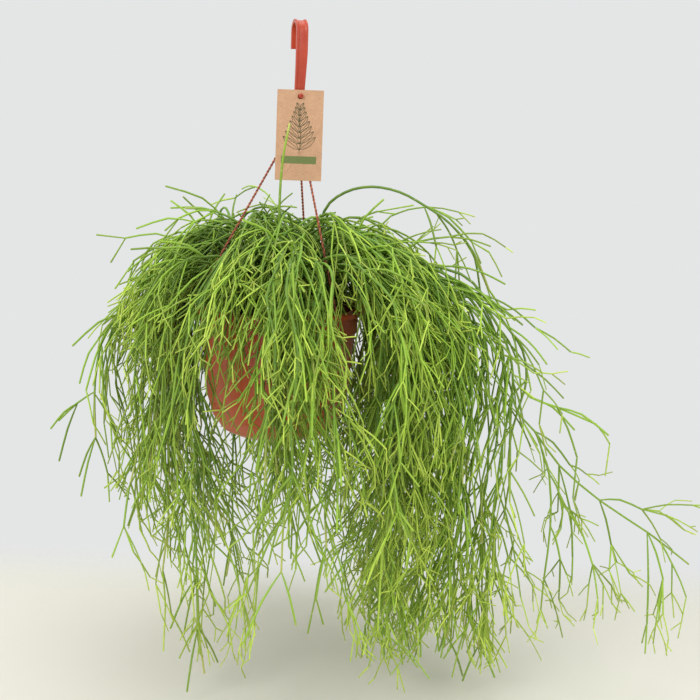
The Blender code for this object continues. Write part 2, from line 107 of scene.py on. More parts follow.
def mesh_piece(name, points, faces, materials, face_materials=None):
    """A mesh object from its points and faces, with its materials."""
    mesh = bpy.data.meshes.new(name)
    mesh.from_pydata([tuple(point) for point in points], [], faces)
    for finish in materials:
        mesh.materials.append(finish)
    if face_materials is not None:
        mesh.polygons.foreach_set("material_index", face_materials)
    mesh.polygons.foreach_set("use_smooth", [True] * len(mesh.polygons))
    mesh.update()
    made = bpy.data.objects.new(name, mesh)
    bpy.context.scene.collection.objects.link(made)
    return made


camera = bpy.data.objects.new("camera", bpy.data.cameras.new("camera"))
bpy.context.scene.collection.objects.link(camera)
camera.data.sensor_width = SENSOR_MM
camera.data.lens = SENSOR_MM * FOCAL_WIDTHS
camera.data.clip_start = 0.05
camera.matrix_world = (
    Matrix.Translation(CAMERA_PLACE)
    @ Matrix.Rotation(math.pi / 2 - CAMERA_TIP, 4, "X")
    @ Matrix.Rotation(CAMERA_ROLL, 4, "Z")
)
bpy.context.scene.camera = camera

# The table's paint is matt, and its warm tone fades to the wall's cool one at the back
table_finish, tree, shader = finish_named("matt_painted_table", Roughness=0.9)
shader.inputs["Base Color"].default_value = linear("#dedbd0")
where = add_node(tree, "NewGeometry").outputs["Position"]
depth = add_node(tree, "SeparateXYZ", [("Vector", where)]).outputs["Y"]
edge = (TABLE_EDGE_Y - TABLE_EDGE_BLUR, TABLE_EDGE_Y + TABLE_EDGE_BLUR)
back = ranged(tree, depth, edge, interpolation_type="SMOOTHSTEP")
spread = add_node(tree, "VectorMath", [(0, where)], operation="LENGTH").outputs["Value"]
far = ranged(tree, spread, TABLE_FADE, interpolation_type="SMOOTHSTEP")
gone = add_node(tree, "Math", [(0, back), (1, far)], operation="MAXIMUM").outputs["Value"]
clear = add_node(tree, "BsdfTransparent").outputs["BSDF"]
blend = add_node(tree, "MixShader", [(0, gone), (1, shader.outputs["BSDF"]), (2, clear)])
tree.links.new(blend.outputs["Shader"], tree.nodes["Material Output"].inputs["Surface"])
half = FLOOR_SIZE / 2
table = mesh_piece(
    "table", [(-half, -half, FLOOR_Z), (half, -half, FLOOR_Z), (half, half, FLOOR_Z), (-half, half, FLOOR_Z)],
    [(0, 1, 2, 3)], [table_finish],
)

world = bpy.data.worlds.new("white_wall")
bpy.context.scene.world = world
world.use_nodes = True
wall = world.node_tree.nodes["Background"]
wall.inputs["Color"].default_value = linear("#e4e6e6")
wall.inputs["Strength"].default_value = 1.0
bpy.context.scene.view_settings.view_transform = "Standard"
for name, place, size, watts in (
    ("key_light", (-1.3, -1.5, 1.1), 1.2, 26),
    ("fill_light", (1.6, -1.3, 0.5), 1.4, 9),
    ("top_light", (0.1, 0.3, 1.6), 1.5, 12),
):
    lamp = bpy.data.objects.new(name, bpy.data.lights.new(name, "AREA"))
    lamp.data.size = size
    lamp.data.energy = watts
    lamp.location = place
    lamp.rotation_euler = (Vector((0, 0, LIGHTS_AIM_Z)) - Vector(place)).to_track_quat("-Z", "Y").to_euler()
    bpy.context.scene.collection.objects.link(lamp)

# The hook
# One strap of red-orange polypropylene, injection moulded with a groove down its outer face,
# bent over at the top; its foot is a round ferrule that holds the strings, with a peg for the tag.

ROD_RADIUS = 0.0095
STRAP_THICK = 0.004
STRAP_WIDTH = 0.0125
STRAP_RIM = 0.0018  # the flat edge to each side of the groove
STRAP_GROOVE = 0.0012
STRAP_EDGE = 0.00045
STRAP_END_SCALE = 0.8
HOOK_YAW = math.radians(17)
HOOK_BOTTOM = -0.105
FERRULE_RADIUS = 0.0046
FERRULE_HEIGHT = 0.009
PEG_RADIUS = 0.002
PEG_HEAD_RADIUS = 0.0026
PEG_REACH = 0.0145
PEG_Z = -0.0763
ROD_SIDES = 24
UP = np.array([0.0, 0.0, 1.0])


def smooth_line(points, per_span):
    """A smooth curve through the points, with so many steps a span, as an array of its rows."""
    rows = np.asarray(points, float)
    before = np.vstack([2 * rows[0] - rows[1], rows[:-1]])[: len(rows) - 1]
    after = np.vstack([rows[2:], 2 * rows[-1] - rows[-2]])
    a, b = rows[:-1], rows[1:]
    t = (np.arange(per_span) / per_span)[:, None, None]
    curve = 0.5 * (
        2 * a + (b - before) * t + (2 * before - 5 * a + 4 * b - after) * t**2
        + (3 * a - before - 3 * b + after) * t**3
    )
    return np.vstack([curve.transpose(1, 0, 2).reshape(-1, rows.shape[1]), rows[-1:]])


def square_to(points, across):
    """Two directions at each point of a line, square to the line and to each other."""
    heading = np.gradient(points, axis=0)
    heading /= np.linalg.norm(heading, axis=1)[:, None]
    one = np.cross(heading, across)
    one /= np.linalg.norm(one, axis=1)[:, None]
    return one, np.cross(heading, one)


def sweep(points, radii, sides, across):
    """The points of rings along a line, each square to it; across is never along the line."""
    one, two = square_to(points, across)
    turn = np.arange(sides) * math.tau / sides
    ring = np.cos(turn)[None, :, None] * one[:, None] + np.sin(turn)[None, :, None] * two[:, None]
    return (points[:, None] + ring * np.asarray(radii)[:, None, None]).reshape(-1, 3)


def add_capped(points, faces, rings, sides):
    """Adds rings of points, one after another, with the faces that join them and close both ends."""
    first, last = len(points), len(points) + len(rings) - sides
    rows, k = np.meshgrid(np.arange(first, last, sides), np.arange(sides), indexing="ij")
    after = (k + 1) % sides
    points += list(rings)
    faces += np.stack([rows + k, rows + after, rows + sides + after, rows + sides + k], -1).reshape(-1, 4).tolist()
    faces += [list(range(first, first + sides))[::-1], list(range(last, last + sides))]


def upright_across(points):
    """A level direction square to the upright plane that a line mostly lies in."""
    chord = points[-1] - points[0]
    flat = np.array([-chord[1], chord[0], 0.0])
    return flat / np.linalg.norm(flat) if np.linalg.norm(flat) > 1e-6 else np.array([1.0, 0.0, 0.0])


def solid_rod(radius, start, end, direction):
    """The rings of a round rod with softened ends, from start to end along a direction."""
    edge = 0.15 * radius
    stops = [(start, radius - edge), (start + edge, radius), (end - edge, radius), (end, radius - edge)]
    line = np.array([direction * along for along, _ in stops])
    return sweep(line, [width for _, width in stops], ROD_SIDES, np.cross(direction, (0.3, 0.5, 0.81)))


def mixed(tree, share, one, other):
    """A colour between two others, each a hex value or a socket, by a share."""
    ends = [linear(end) if isinstance(end, str) else end for end in (one, other)]
    return add_node(tree, "Mix", [(0, share), (6, ends[0]), (7, ends[1])], data_type="RGBA").outputs[2]


def grain(tree, scale, detail, turn=0.0):
    """Noise in a piece's own space, from 0 to 1, at one scale or at a scale for each axis."""
    where = add_node(tree, "TexCoord").outputs["Object"]
    if isinstance(scale, tuple):
        stretch = [("Vector", where), ("Rotation", (0, 0, turn)), ("Scale", scale)]
        where, scale = add_node(tree, "Mapping", stretch).outputs["Vector"], 1.0
    return add_node(tree, "TexNoise", [("Vector", where), ("Scale", scale), ("Detail", detail)]).outputs["Fac"]


def coat(tree, shader, colour, gloss=None, relief=None):
    """Links a colour, a roughness and a relief, which is a height with its strength and distance."""
    tree.links.new(colour, shader.inputs["Base Color"])
    if gloss is not None:
        tree.links.new(gloss, shader.inputs["Roughness"])
    if relief is not None:
        bump = add_node(tree, "Bump", zip(("Height", "Strength", "Distance"), relief))
        tree.links.new(bump.outputs["Normal"], shader.inputs["Normal"])


strap_half = STRAP_WIDTH / 2
strap_face = STRAP_THICK / 2
groove_top, groove_foot = strap_half - STRAP_RIM, strap_half - STRAP_RIM - STRAP_GROOVE
section = [
    (-strap_face, -strap_half), (-strap_face, strap_half), (strap_face, strap_half), (strap_face, groove_top),
    (strap_face - STRAP_GROOVE, groove_foot), (strap_face - STRAP_GROOVE, -groove_foot),
    (strap_face, -groove_top), (strap_face, -strap_half),
]
bend = ROD_RADIUS + strap_face
arc = [math.radians(turn) for turn in range(0, 181, 6)]
strap_line = [(bend, -0.027), (bend, -0.018)]
strap_line += [(bend * math.cos(turn), -ROD_RADIUS + bend * math.sin(turn)) for turn in arc]
leg = [(-bend, -ROD_RADIUS), (-0.0112, -0.030), (-0.0088, -0.050), (-0.0055, -0.070), (-0.0025, -0.088)]
strap_line += [tuple(row) for row in smooth_line(leg + [(0.0, -0.103)], 6)[1:]]
yaw = Matrix.Rotation(HOOK_YAW, 3, "Z")
outward = np.array(yaw @ Vector((0, -1, 0)))
sideways = np.array(yaw @ Vector((1, 0, 0)))
strap_line = np.array(strap_line)
middles = -outward * strap_line[:, :1] + UP * strap_line[:, 1:]
ways = np.gradient(middles, axis=0)
ways /= np.linalg.norm(ways, axis=1)[:, None]
normals = np.cross(ways, sideways)
normals *= np.sign(normals[len(arc) // 2 + 2] @ UP)
scale = 1 - (1 - STRAP_END_SCALE) * np.clip((-0.03 - strap_line[:, 1]) / 0.06, 0, 1)
strap_rings = [
    middle + size * (out * normal + side * sideways)
    for middle, normal, size in zip(middles, normals, scale) for out, side in section
]
hook_points, hook_faces = [], []
add_capped(hook_points, hook_faces, strap_rings, len(section))
for radius, start, end, direction, base in (
    (FERRULE_RADIUS, 0.0, FERRULE_HEIGHT, UP, HOOK_BOTTOM * UP),
    (PEG_RADIUS, 0.004, PEG_REACH, outward, PEG_Z * UP),
    (PEG_HEAD_RADIUS, PEG_REACH - 0.0012, PEG_REACH, outward, PEG_Z * UP),
):
    add_capped(hook_points, hook_faces, solid_rod(radius, start, end, direction) + base, ROD_SIDES)

# Polypropylene from a polished mould: an even red with soft gloss, and faint drag lines along the strap
hook_finish, tree, shader = finish_named("moulded_polypropylene_red", IOR=1.49, Coat_Weight=0.15, Coat_Roughness=0.2)
blotch = grain(tree, 60.0, 3.0)
drag = grain(tree, (900.0, 900.0, 60.0), 2.0)
tone = mixed(tree, blotch, "#a5301a", "#c64c2c")
coat(tree, shader, tone, ranged(tree, blotch, target=(0.26, 0.42)), (drag, 0.05, 0.0002))
hook = mesh_piece("hook_strap", hook_points, hook_faces, [hook_finish])
shape = bmesh.new()
shape.from_mesh(hook.data)
bmesh.ops.recalc_face_normals(shape, faces=shape.faces)
shape.to_mesh(hook.data)
shape.free()
soften = hook.modifiers.new("soften", "BEVEL")
soften.width = STRAP_EDGE
soften.segments = 3
soften.limit_method = "ANGLE"
soften.angle_limit = math.radians(35)
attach(hook, "root")
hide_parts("hook")

# The strings
# Three lengths of two-ply twine, one terracotta strand and one dark brown, each led through a
# hole in the pot's rim and stopped there with an overhand knot.

POT_X = -0.015
RIM_Z = -0.305
RIM_THICK = 0.0025
STRING_RADIUS = 0.001
STRING_AZIMUTHS = {"string_left": 193, "string_front": 313, "string_back": 73}
STRING_TOP_RADIUS = 0.0024
STRING_SEAT = 0.0945
KNOT_RADIUS = 0.003
PLY_RADIUS = 0.00076
PLY_PITCH = 0.0080
PLY_SPREAD = 0.8  # of a ply's radius, from the string's middle to the ply's
PLY_STEP = 0.0006
PLY_SIDES = 8
KNOT_SIZE = 0.00068
KNOT_STEPS = 72
KNOT_ACROSS = (0.11, 0.07, 0.99)
KNOT_PLY_RADIUS = 0.0008
KNOT_DROPS = (-0.0001, -0.0010)  # of each ply's knot


def around(radius, azimuth, z):
    """A point by its distance from the pot's axis, its direction in radians and its height."""
    return np.array([POT_X + radius * math.cos(azimuth), radius * math.sin(azimuth), z])


def string_line(azimuth_degrees):
    """The points of one string, from the ferrule to its knot under the rim."""
    azimuth = math.radians(azimuth_degrees)
    out = np.array([math.cos(azimuth), math.sin(azimuth), 0.0])
    hole = around(STRING_SEAT, azimuth, RIM_Z)
    top = out * STRING_TOP_RADIUS + UP * (HOOK_BOTTOM - 0.0003 - STRING_RADIUS / 2)
    return np.array([top, hole + 0.004 * UP, hole - (RIM_THICK + KNOT_RADIUS) * UP])


def spaced(line, step):
    """The line again, with points about a step apart."""
    along = np.concatenate([[0], np.cumsum(np.linalg.norm(np.diff(line, axis=0), axis=1))])
    at = np.linspace(0, along[-1], max(2, round(along[-1] / step) + 1))
    return np.stack([np.interp(at, along, line[:, k]) for k in range(3)], 1)


# Each ply is hard-spun yarn: the slant lines of its fibres show as fine light and dark streaks
ply_finishes = []
for name, dark, light in (
    ("spun_yarn_terracotta", "#a84a33", "#d07a5a"), ("spun_yarn_dark_brown", "#6e3529", "#9c5a46"),
):
    made, tree, shader = finish_named(name, Roughness=0.75)
    fibre = grain(tree, 1500.0, 2.0)
    coat(tree, shader, mixed(tree, fibre, dark, light), relief=(fibre, 0.5, 0.0002))
    ply_finishes.append(made)

t = np.append(np.linspace(0, math.tau, KNOT_STEPS, endpoint=False), 0.0)
knot = np.stack([np.sin(t) + 2 * np.sin(2 * t), np.cos(t) - 2 * np.cos(2 * t), -1.6 * np.sin(3 * t)], 1)
for name, azimuth in STRING_AZIMUTHS.items():
    corners = string_line(azimuth)
    bent = np.vstack([corners[:1], smooth_line([corners[0] * 0.06 + corners[1] * 0.94, corners[1], corners[2]], 8)])
    line = spaced(bent, PLY_STEP)
    across = upright_across(line)
    one, two = square_to(line, across)
    turn = np.arange(len(line)) * PLY_STEP / PLY_PITCH * math.tau
    strands = []
    for ply in (0, 1):
        angle = (turn + math.pi * ply)[:, None]
        strand = line + PLY_RADIUS * PLY_SPREAD * (np.cos(angle) * one + np.sin(angle) * two)
        strands.append((ply, strand, PLY_RADIUS, across))
    for ply, drop in enumerate(KNOT_DROPS):
        centre = corners[2] + (0.0, 0.0, drop)
        strands.append((ply, knot * KNOT_SIZE + centre, KNOT_PLY_RADIUS, KNOT_ACROSS))
    points, faces, face_materials = [], [], []
    for ply, strand, radius, aside in strands:
        add_capped(points, faces, sweep(strand, np.full(len(strand), radius), PLY_SIDES, aside), PLY_SIDES)
        face_materials += [ply] * (len(faces) - len(face_materials))
    string = mesh_piece(name + "_twine", points, faces, ply_finishes, face_materials)
    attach(string, "root")
    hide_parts(name)

# The tag
# A die-cut label of unbleached kraft card with a punched hole, which hangs on the hook's peg and
# leans on the front string; it is printed in one dark olive ink and has a plain green band.

TAG_WIDTH = 0.050
TAG_HEIGHT = 0.097
TAG_THICK = 0.0006
TAG_HOLE_RADIUS = 0.003
TAG_HOLE_DOWN = 0.007
TAG_HOLE = (0.0032, -0.0101, -0.077)
TAG_TILT = math.radians(9)
TAG_HOLE_SIDES = 40
INK_WIDTH = 0.00062
INK_PROUD = 0.00002
PRINT_GAP = 0.00001
BAND_SIDE = 0.006  # from the card's edges to the green band
BAND_FOOT, BAND_TOP = -0.072, -0.064
SPRIG_PAIRS = 8
SPRIG_STEPS = 8
LEAF_BULGE = 0.17  # of a leaf's length
SPRIG_FLATNESS = 0.12
CREASE_AT, CREASE_END = 0.0375, 0.0405  # where the painted crease shade starts and ends, down the card's slope to its lower right corner
tag_place = Matrix.Translation(TAG_HOLE) @ Matrix.Rotation(math.pi / 2 - TAG_TILT, 4, "X")


def printed_curve(name, rows, closed, finish, **settings):
    """A curve object with its settings, from lines in its own plane."""
    curve = bpy.data.curves.new(name, "CURVE")
    for key, value in settings.items():
        setattr(curve, key, value)
    for row in rows:
        spline = curve.splines.new("POLY")
        spline.points.add(len(row) - 1)
        for point, (x, y) in zip(spline.points, row):
            point.co = (x, y, 0, 1)
        spline.use_cyclic_u = closed
    curve.materials.append(finish)
    made = bpy.data.objects.new(name, curve)
    bpy.context.scene.collection.objects.link(made)
    return made


def flat_outline(name, outlines, thick, finish):
    """A flat piece from its outlines, the first outside and the rest holes."""
    return printed_curve(name, outlines, True, finish, dimensions="2D", fill_mode="BOTH", extrude=thick / 2)


def box_outline(side, start, end):
    return [(-side, start), (side, start), (side, end), (-side, end)]


def disc(radius, sides):
    turns = [math.tau * k / sides for k in range(sides)]
    return [(radius * math.cos(turn), radius * math.sin(turn)) for turn in turns]


# Kraft card: warm brown pulp with darker and paler fibres a millimetre or two long, quite matt, and
# a faint crease across its lower corner, drawn only as a painted shade: a thin darker band in the card's colour
card_finish, tree, shader = finish_named("unbleached_kraft_card", Roughness=0.88)
pulp = grain(tree, 120.0, 4.0)
fibre = grain(tree, (450.0, 1800.0, 900.0), 3.0, turn=0.6)
fleck = ranged(tree, fibre, (0.58, 0.75))
flecked = mixed(tree, fleck, mixed(tree, pulp, "#b58a6a", "#cda481"), "#98704f")
where = add_node(tree, "TexCoord").outputs["Object"]
slope = add_node(tree, "VectorMath", [(0, where), (1, (0.80, -0.60, 0.0))], operation="DOT_PRODUCT").outputs["Value"]
# Painted shade of the crease: darker card along the fold line, fading away from it towards the corner
crease_shade_ramp = ranged(tree, slope, (CREASE_AT, CREASE_END), (0.22, 0.0))
ahead = add_node(tree, "Math", [(0, slope), (1, CREASE_AT)], operation="GREATER_THAN").outputs["Value"]
painted_crease_shade = add_node(tree, "Math", [(0, crease_shade_ramp), (1, ahead)], operation="MULTIPLY").outputs["Value"]
coat(tree, shader, mixed(tree, painted_crease_shade, flecked, "#8a6448"), relief=(fibre, 0.25, 0.0001))
side = TAG_WIDTH / 2
card_outline = box_outline(side, TAG_HOLE_DOWN, TAG_HOLE_DOWN - TAG_HEIGHT)
card = flat_outline("tag_card", [card_outline, disc(TAG_HOLE_RADIUS, TAG_HOLE_SIDES)], TAG_THICK, card_finish)
card.matrix_world = tag_place
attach(card, "root")
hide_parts("tag")

# Offset inks soak into the card: matt, a little uneven, and the card's fibres show through
inks = {}
for name, dark, light in (("olive_line_ink", "#4a452c", "#6a6242"), ("leaf_green_band_ink", "#5f6b3a", "#737f48")):
    made, tree, shader = finish_named(name, Roughness=0.8)
    coat(tree, shader, mixed(tree, grain(tree, 700.0, 2.0), dark, light))
    inks[name] = made
band_outline = box_outline(side - BAND_SIDE, BAND_FOOT, BAND_TOP)
band = flat_outline("tag_band", [band_outline], 2 * INK_PROUD, inks["leaf_green_band_ink"])
print_place = tag_place @ Matrix.Translation((0, 0, TAG_THICK / 2 + INK_PROUD + PRINT_GAP))
band.matrix_world = print_place
strokes = [[(0.0015 * math.sin(k * 0.5), -0.061 + 0.0049 * k) for k in range(11)]]
for pair in range(SPRIG_PAIRS):
    length = 0.0225 - 0.0019 * pair
    slant = math.radians(38 + 4 * pair)
    for hand in (-1, 1):
        for bulge in (-1, 0, 1):
            stroke = []
            for k in range(SPRIG_STEPS + 1):
                run = k / SPRIG_STEPS
                out = bulge * LEAF_BULGE * length * math.sin(math.pi * run)
                x = length * run * math.cos(slant) - out * math.sin(slant)
                y = length * run * math.sin(slant) + out * math.cos(slant)
                stroke.append((hand * x, -0.057 + 0.0060 * pair + y))
            strokes.append(stroke)
drawing = printed_curve(
    "tag_sprig", strokes, False, inks["olive_line_ink"],
    dimensions="3D", bevel_depth=INK_WIDTH / 2, bevel_resolution=1, use_fill_caps=True,
)
drawing.matrix_world = print_place @ Matrix.Diagonal((1, 1, SPRIG_FLATNESS, 1))
for printed in (band, drawing):
    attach(printed, "root")

# The pot
# A thin-walled hanging pot, injection moulded in glossy terracotta-coloured polypropylene, with a
# flat rim that has a turned-down lip, a collar band, a tapered wall and a round foot with drain holes.

POT_HEIGHT = 0.147
POT_RIM_RADIUS = 0.100
RIM_LIP = 0.005
COLLAR_RADIUS = 0.0885
COLLAR_HEIGHT = 0.028
WALL = 0.002
STRING_HOLE_RADIUS = 0.00225
POT_SIDES = 128
POT_FLOOR = 0.0025
POT_EDGE = 0.0009
DRAIN_HOLE_RADIUS = 0.004
DRAIN_HOLE_SEAT = 0.030
CUTTER_DEPTH = 0.02
CUTTER_SIDES = 24


def rounded(profile, radius, steps=3):
    """The profile with each inner corner replaced by a short curve."""
    rows = [profile[0]]
    for before, corner, after in zip(profile[:-2], profile[1:-1], profile[2:]):
        back, on = Vector(before) - Vector(corner), Vector(after) - Vector(corner)
        reach = min(radius, 0.45 * back.length, 0.45 * on.length)
        start, end = Vector(corner) + back.normalized() * reach, Vector(corner) + on.normalized() * reach
        for k in range(steps + 1):
            t = k / steps
            rows.append(tuple((1 - t) ** 2 * start + 2 * t * (1 - t) * Vector(corner) + t * t * end))
    return rows + [profile[-1]]


def turned(name, profile, sides, finish):
    """A solid turned round the pot's axis from its profile of radii and heights."""
    made = mesh_piece(name, [(radius, 0, z) for radius, z in profile], [], [finish])
    shape = bmesh.new()
    rows = [shape.verts.new((radius, 0, z)) for radius, z in profile]
    spans = [shape.edges.new(pair) for pair in zip(rows[:-1], rows[1:])]
    bmesh.ops.spin(
        shape, geom=rows + spans, cent=(0, 0, 0), axis=(0, 0, 1), angle=math.tau, steps=sides, use_merge=True,
    )
    bmesh.ops.remove_doubles(shape, verts=shape.verts, dist=0.00002)
    bmesh.ops.recalc_face_normals(shape, faces=shape.faces)
    shape.to_mesh(made.data)
    shape.free()
    made.data.transform(Matrix.Translation((POT_X, 0, 0)))
    return made


pot_foot = RIM_Z - POT_HEIGHT
inside_rows = [(0.0, 0.0), (0.047, 0.0), (0.060, 0.008), (0.070, 0.022), (0.0765, 0.042)]
inside_rows = [(radius, pot_foot + POT_FLOOR + rise) for radius, rise in inside_rows]
inside_rows += [(COLLAR_RADIUS - WALL - 0.002, RIM_Z - COLLAR_HEIGHT - 0.004)]
outside_rows = [
    (COLLAR_RADIUS - WALL, RIM_Z), (POT_RIM_RADIUS, RIM_Z), (POT_RIM_RADIUS, RIM_Z - RIM_LIP),
    (POT_RIM_RADIUS - 0.0015, RIM_Z - RIM_LIP), (POT_RIM_RADIUS - 0.0015, RIM_Z - RIM_THICK),
    (COLLAR_RADIUS, RIM_Z - RIM_THICK), (COLLAR_RADIUS - 0.0005, RIM_Z - COLLAR_HEIGHT),
    (COLLAR_RADIUS - 0.0025, RIM_Z - COLLAR_HEIGHT - 0.002), (0.0790, pot_foot + 0.042),
    (0.0735, pot_foot + 0.022), (0.0630, pot_foot + 0.007), (0.0490, pot_foot), (0.0, pot_foot),
]

# Glossy polypropylene: fired-clay red, lighter and darker in broad random patches, with faint flow marks
# that run up the wall from the foot and a light bloom of dust that dulls the gloss in patches
pot_finish, tree, shader = finish_named(
    "moulded_polypropylene_terracotta", IOR=1.49, Coat_Weight=0.18, Coat_Roughness=0.12
)
cloud = grain(tree, 14.0, 4.0)
flow = grain(tree, (260.0, 260.0, 12.0), 2.0)
marks = ranged(tree, flow, (0.5, 0.8), (0.0, 0.25))
marked = mixed(tree, marks, mixed(tree, cloud, "#b4431f", "#de6a3c"), "#8a3018")
coat(tree, shader, marked, ranged(tree, cloud, (0.35, 0.7), (0.20, 0.42)), (flow, 0.06, 0.0004))
blank = turned("pot_blank", rounded(inside_rows + outside_rows, POT_EDGE), POT_SIDES, pot_finish)
holes = [(STRING_SEAT, azimuth, RIM_Z, STRING_HOLE_RADIUS) for azimuth in STRING_AZIMUTHS.values()]
holes += [(DRAIN_HOLE_SEAT, azimuth, pot_foot, DRAIN_HOLE_RADIUS) for azimuth in range(45, 360, 90)]
shape = bmesh.new()
for seat, azimuth, height, radius in holes:
    bmesh.ops.create_cone(
        shape, cap_ends=True, segments=CUTTER_SIDES, radius1=radius, radius2=radius, depth=CUTTER_DEPTH,
        matrix=Matrix.Translation(around(seat, math.radians(azimuth), height)),
    )
cutter = mesh_piece("pot_holes", [], [], [])
shape.to_mesh(cutter.data)
shape.free()
cut = blank.modifiers.new("holes", "BOOLEAN")
cut.operation = "DIFFERENCE"
cut.object = cutter
bpy.context.view_layer.update()
holed = bpy.data.meshes.new_from_object(blank.evaluated_get(bpy.context.evaluated_depsgraph_get()))
for used in (blank, cutter):
    bpy.data.objects.remove(used)

# The cut numbers its points and faces anew each time, so they are put in the order of their places
corners = [tuple(vertex.co) for vertex in holed.vertices]
order = sorted(range(len(corners)), key=corners.__getitem__)
rank = {old: new for new, old in enumerate(order)}
loops = [[rank[k] for k in polygon.vertices] for polygon in holed.polygons]
loops = sorted(loop[loop.index(min(loop)):] + loop[:loop.index(min(loop))] for loop in loops)
pot = mesh_piece("pot_shell", [corners[k] for k in order], loops, [pot_finish])
pot.data.set_sharp_from_angle(angle=math.radians(40))
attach(pot, "root")
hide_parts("pot")

# The potting soil
# Coarse peat with bark crumbs and a little white perlite, filled to just below the rim and
# settled unevenly round the stems.

SOIL_DEPTH = 0.012
SOIL_CROWN = 0.002
SOIL_Z = RIM_Z - SOIL_DEPTH
SOIL_LUMP = 0.0024
SOIL_SKIRT = 0.03
FIT_GAP = 0.0004
SOIL_RINGS = 36
SOIL_SPOKES = 110
CRUMB_SEED = 7
CRUMBS = 420
PERLITE_EVERY = 8  # one crumb in so many is perlite

# Moist peat: nearly black in its hollows, red-brown on dry crumbs, and not glossy at all
soil_finish, tree, shader = finish_named("moist_peat", Roughness=0.95)
crumb = grain(tree, 260.0, 6.0)
coat(tree, shader, mixed(tree, crumb, "#1c130d", "#5a4030"), relief=(crumb, 1.0, 0.0015))
perlite_finish, tree, shader = finish_named("expanded_perlite", Roughness=0.9)
coat(tree, shader, mixed(tree, grain(tree, 900.0, 2.0), "#b9b3a6", "#ece9e0"))

soil_radius = COLLAR_RADIUS - WALL - 0.0018
points, faces = [np.array([POT_X, 0.0, SOIL_Z])], []
for ring in range(1, SOIL_RINGS + 1):
    for spoke in range(SOIL_SPOKES):
        spot = around(soil_radius * ring / SOIL_RINGS, math.tau * spoke / SOIL_SPOKES, SOIL_Z)
        lump = noise.fractal(Vector(spot) * 90, 0.8, 2.1, 4)
        spot[2] += SOIL_LUMP * lump - SOIL_CROWN * (ring / SOIL_RINGS) ** 2
        points.append(spot)
for spoke in range(SOIL_SPOKES):
    points.append(around(soil_radius - 0.0025, math.tau * spoke / SOIL_SPOKES, SOIL_Z - SOIL_SKIRT))
faces += [[0, 1 + spoke, 1 + (spoke + 1) % SOIL_SPOKES] for spoke in range(SOIL_SPOKES)]
for here in range(1, 1 + SOIL_RINGS * SOIL_SPOKES, SOIL_SPOKES):
    for spoke in range(SOIL_SPOKES):
        after = (spoke + 1) % SOIL_SPOKES
        faces.append([here + spoke, here + SOIL_SPOKES + spoke, here + SOIL_SPOKES + after, here + after])
faces.append([len(points) - SOIL_SPOKES + spoke for spoke in range(SOIL_SPOKES)][::-1])
soil_materials = [0] * len(faces)
draw = random.Random(CRUMB_SEED)
for number in range(CRUMBS):
    azimuth = draw.uniform(0, math.tau)
    spot = around(soil_radius * 0.97 * math.sqrt(draw.random()), azimuth, SOIL_Z - 0.001)
    size = draw.uniform(0.0008, 0.0026)
    shape = bmesh.new()
    bmesh.ops.create_icosphere(shape, subdivisions=1, radius=1.0)
    stretch = [size * draw.uniform(0.6, 1.3) for _ in range(3)]
    first = len(points)
    for corner in shape.verts:
        wobble = 1 + 0.35 * noise.noise(corner.co * 1.7 + Vector((number, 0, 0)))
        points.append(spot + np.array(corner.co) * stretch * wobble)
    for face in shape.faces:
        faces.append([first + corner.index for corner in face.verts])
    soil_materials += [1 if number % PERLITE_EVERY == 0 else 0] * len(shape.faces)
    shape.free()
soil = mesh_piece("soil_surface", points, faces, [soil_finish, perlite_finish], soil_materials)
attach(soil, "root")
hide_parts("potting_soil")

# The plant
# A mistletoe cactus: leafless, round, waxy green stems. Each spray rises from the soil, arches
# over the rim and hangs, and at its narrow joints it sends out whorls of side stems that fork again.

SEED = 41
STEMS = 30
ROOT_SPREAD = 0.068
ROOT_DEPTH = 0.018
STEM_RADIUS = 0.0018
TIP_RADIUS = 0.0011
TWIG_RADIUS = 0.0013
JOINT_RADIUS = 0.0005
SIDES_PER_JOINT = (0, 1, 1, 1, 2, 2)
FORKED_SHARE = 0.26
CEILING = -0.180
FLOOR = -0.722
LEFT_END = -0.262
CLEARANCE = 0.0007
BRANCH_SEED = 97
EDGE_ROOM = 0.012  # how far finer stems may reach past the plain ones
LOWEST_TIP = -0.698  # of the finer stems
FIRST_JOINT = 4  # the first point of a main stem that side stems grow from
FINE_ROOM = 0.0003  # the radius that a finer stem is taken to have when it is kept clear
UNDER_POT_Z = RIM_Z - POT_HEIGHT - 0.012
PAINTED_SHADE_DEPTH = 0.13  # below the plant's surface, where the painted shade is full and stems get their darkest, oldest-looking colour
INNER_SHADE = ((-0.60, -0.44), (0.2, 1.0))  # heights, and how much the inner stems are shaded at each

# Heights, and how far the foliage reaches from the pot's axis at each of them
FOLIAGE = (
    (-0.70, -0.60, -0.50, -0.45, -0.395, -0.34, -0.287, -0.25, -0.225, -0.205, -0.190),
    (0.190, 0.205, 0.205, 0.208, 0.214, 0.206, 0.184, 0.150, 0.116, 0.075, 0.02),
)
RIGHT_SPREAD = 0.1  # how much further it reaches for each metre to the right
LEFT_DRAW = 0.07  # how much less for each metre to the left
HEM_ROOM = 0.035
# Places where the curtain is thin: left, right, foot and top, and the share of side stems that grow
THIN_PLACES = (
    (-math.inf, -0.10, -math.inf, -0.33, 0.62),
    (0.19, math.inf, -0.45, math.inf, 0.35),
    (-math.inf, 0.10, -0.57, -0.47, 0.5),
)
# Where the pot shows between the stems: left, right, foot and top, as slopes from the camera's axis
POT_OPENINGS = ((-0.128, -0.074, -0.070, 0.045), (-0.003, 0.010, 0.003, 0.033))
MAINS_LET_BY = 0.4  # the share of main stems that may cross those places
SIDES_HELD_BACK = 0.76  # the share of side stems that may not
SHOWN_STRINGS = (0.93, 0.93, 0.50)  # the share of each string, from its top, that no stem hides
STRING_ROOM = 0.0030  # the slope to each side of it

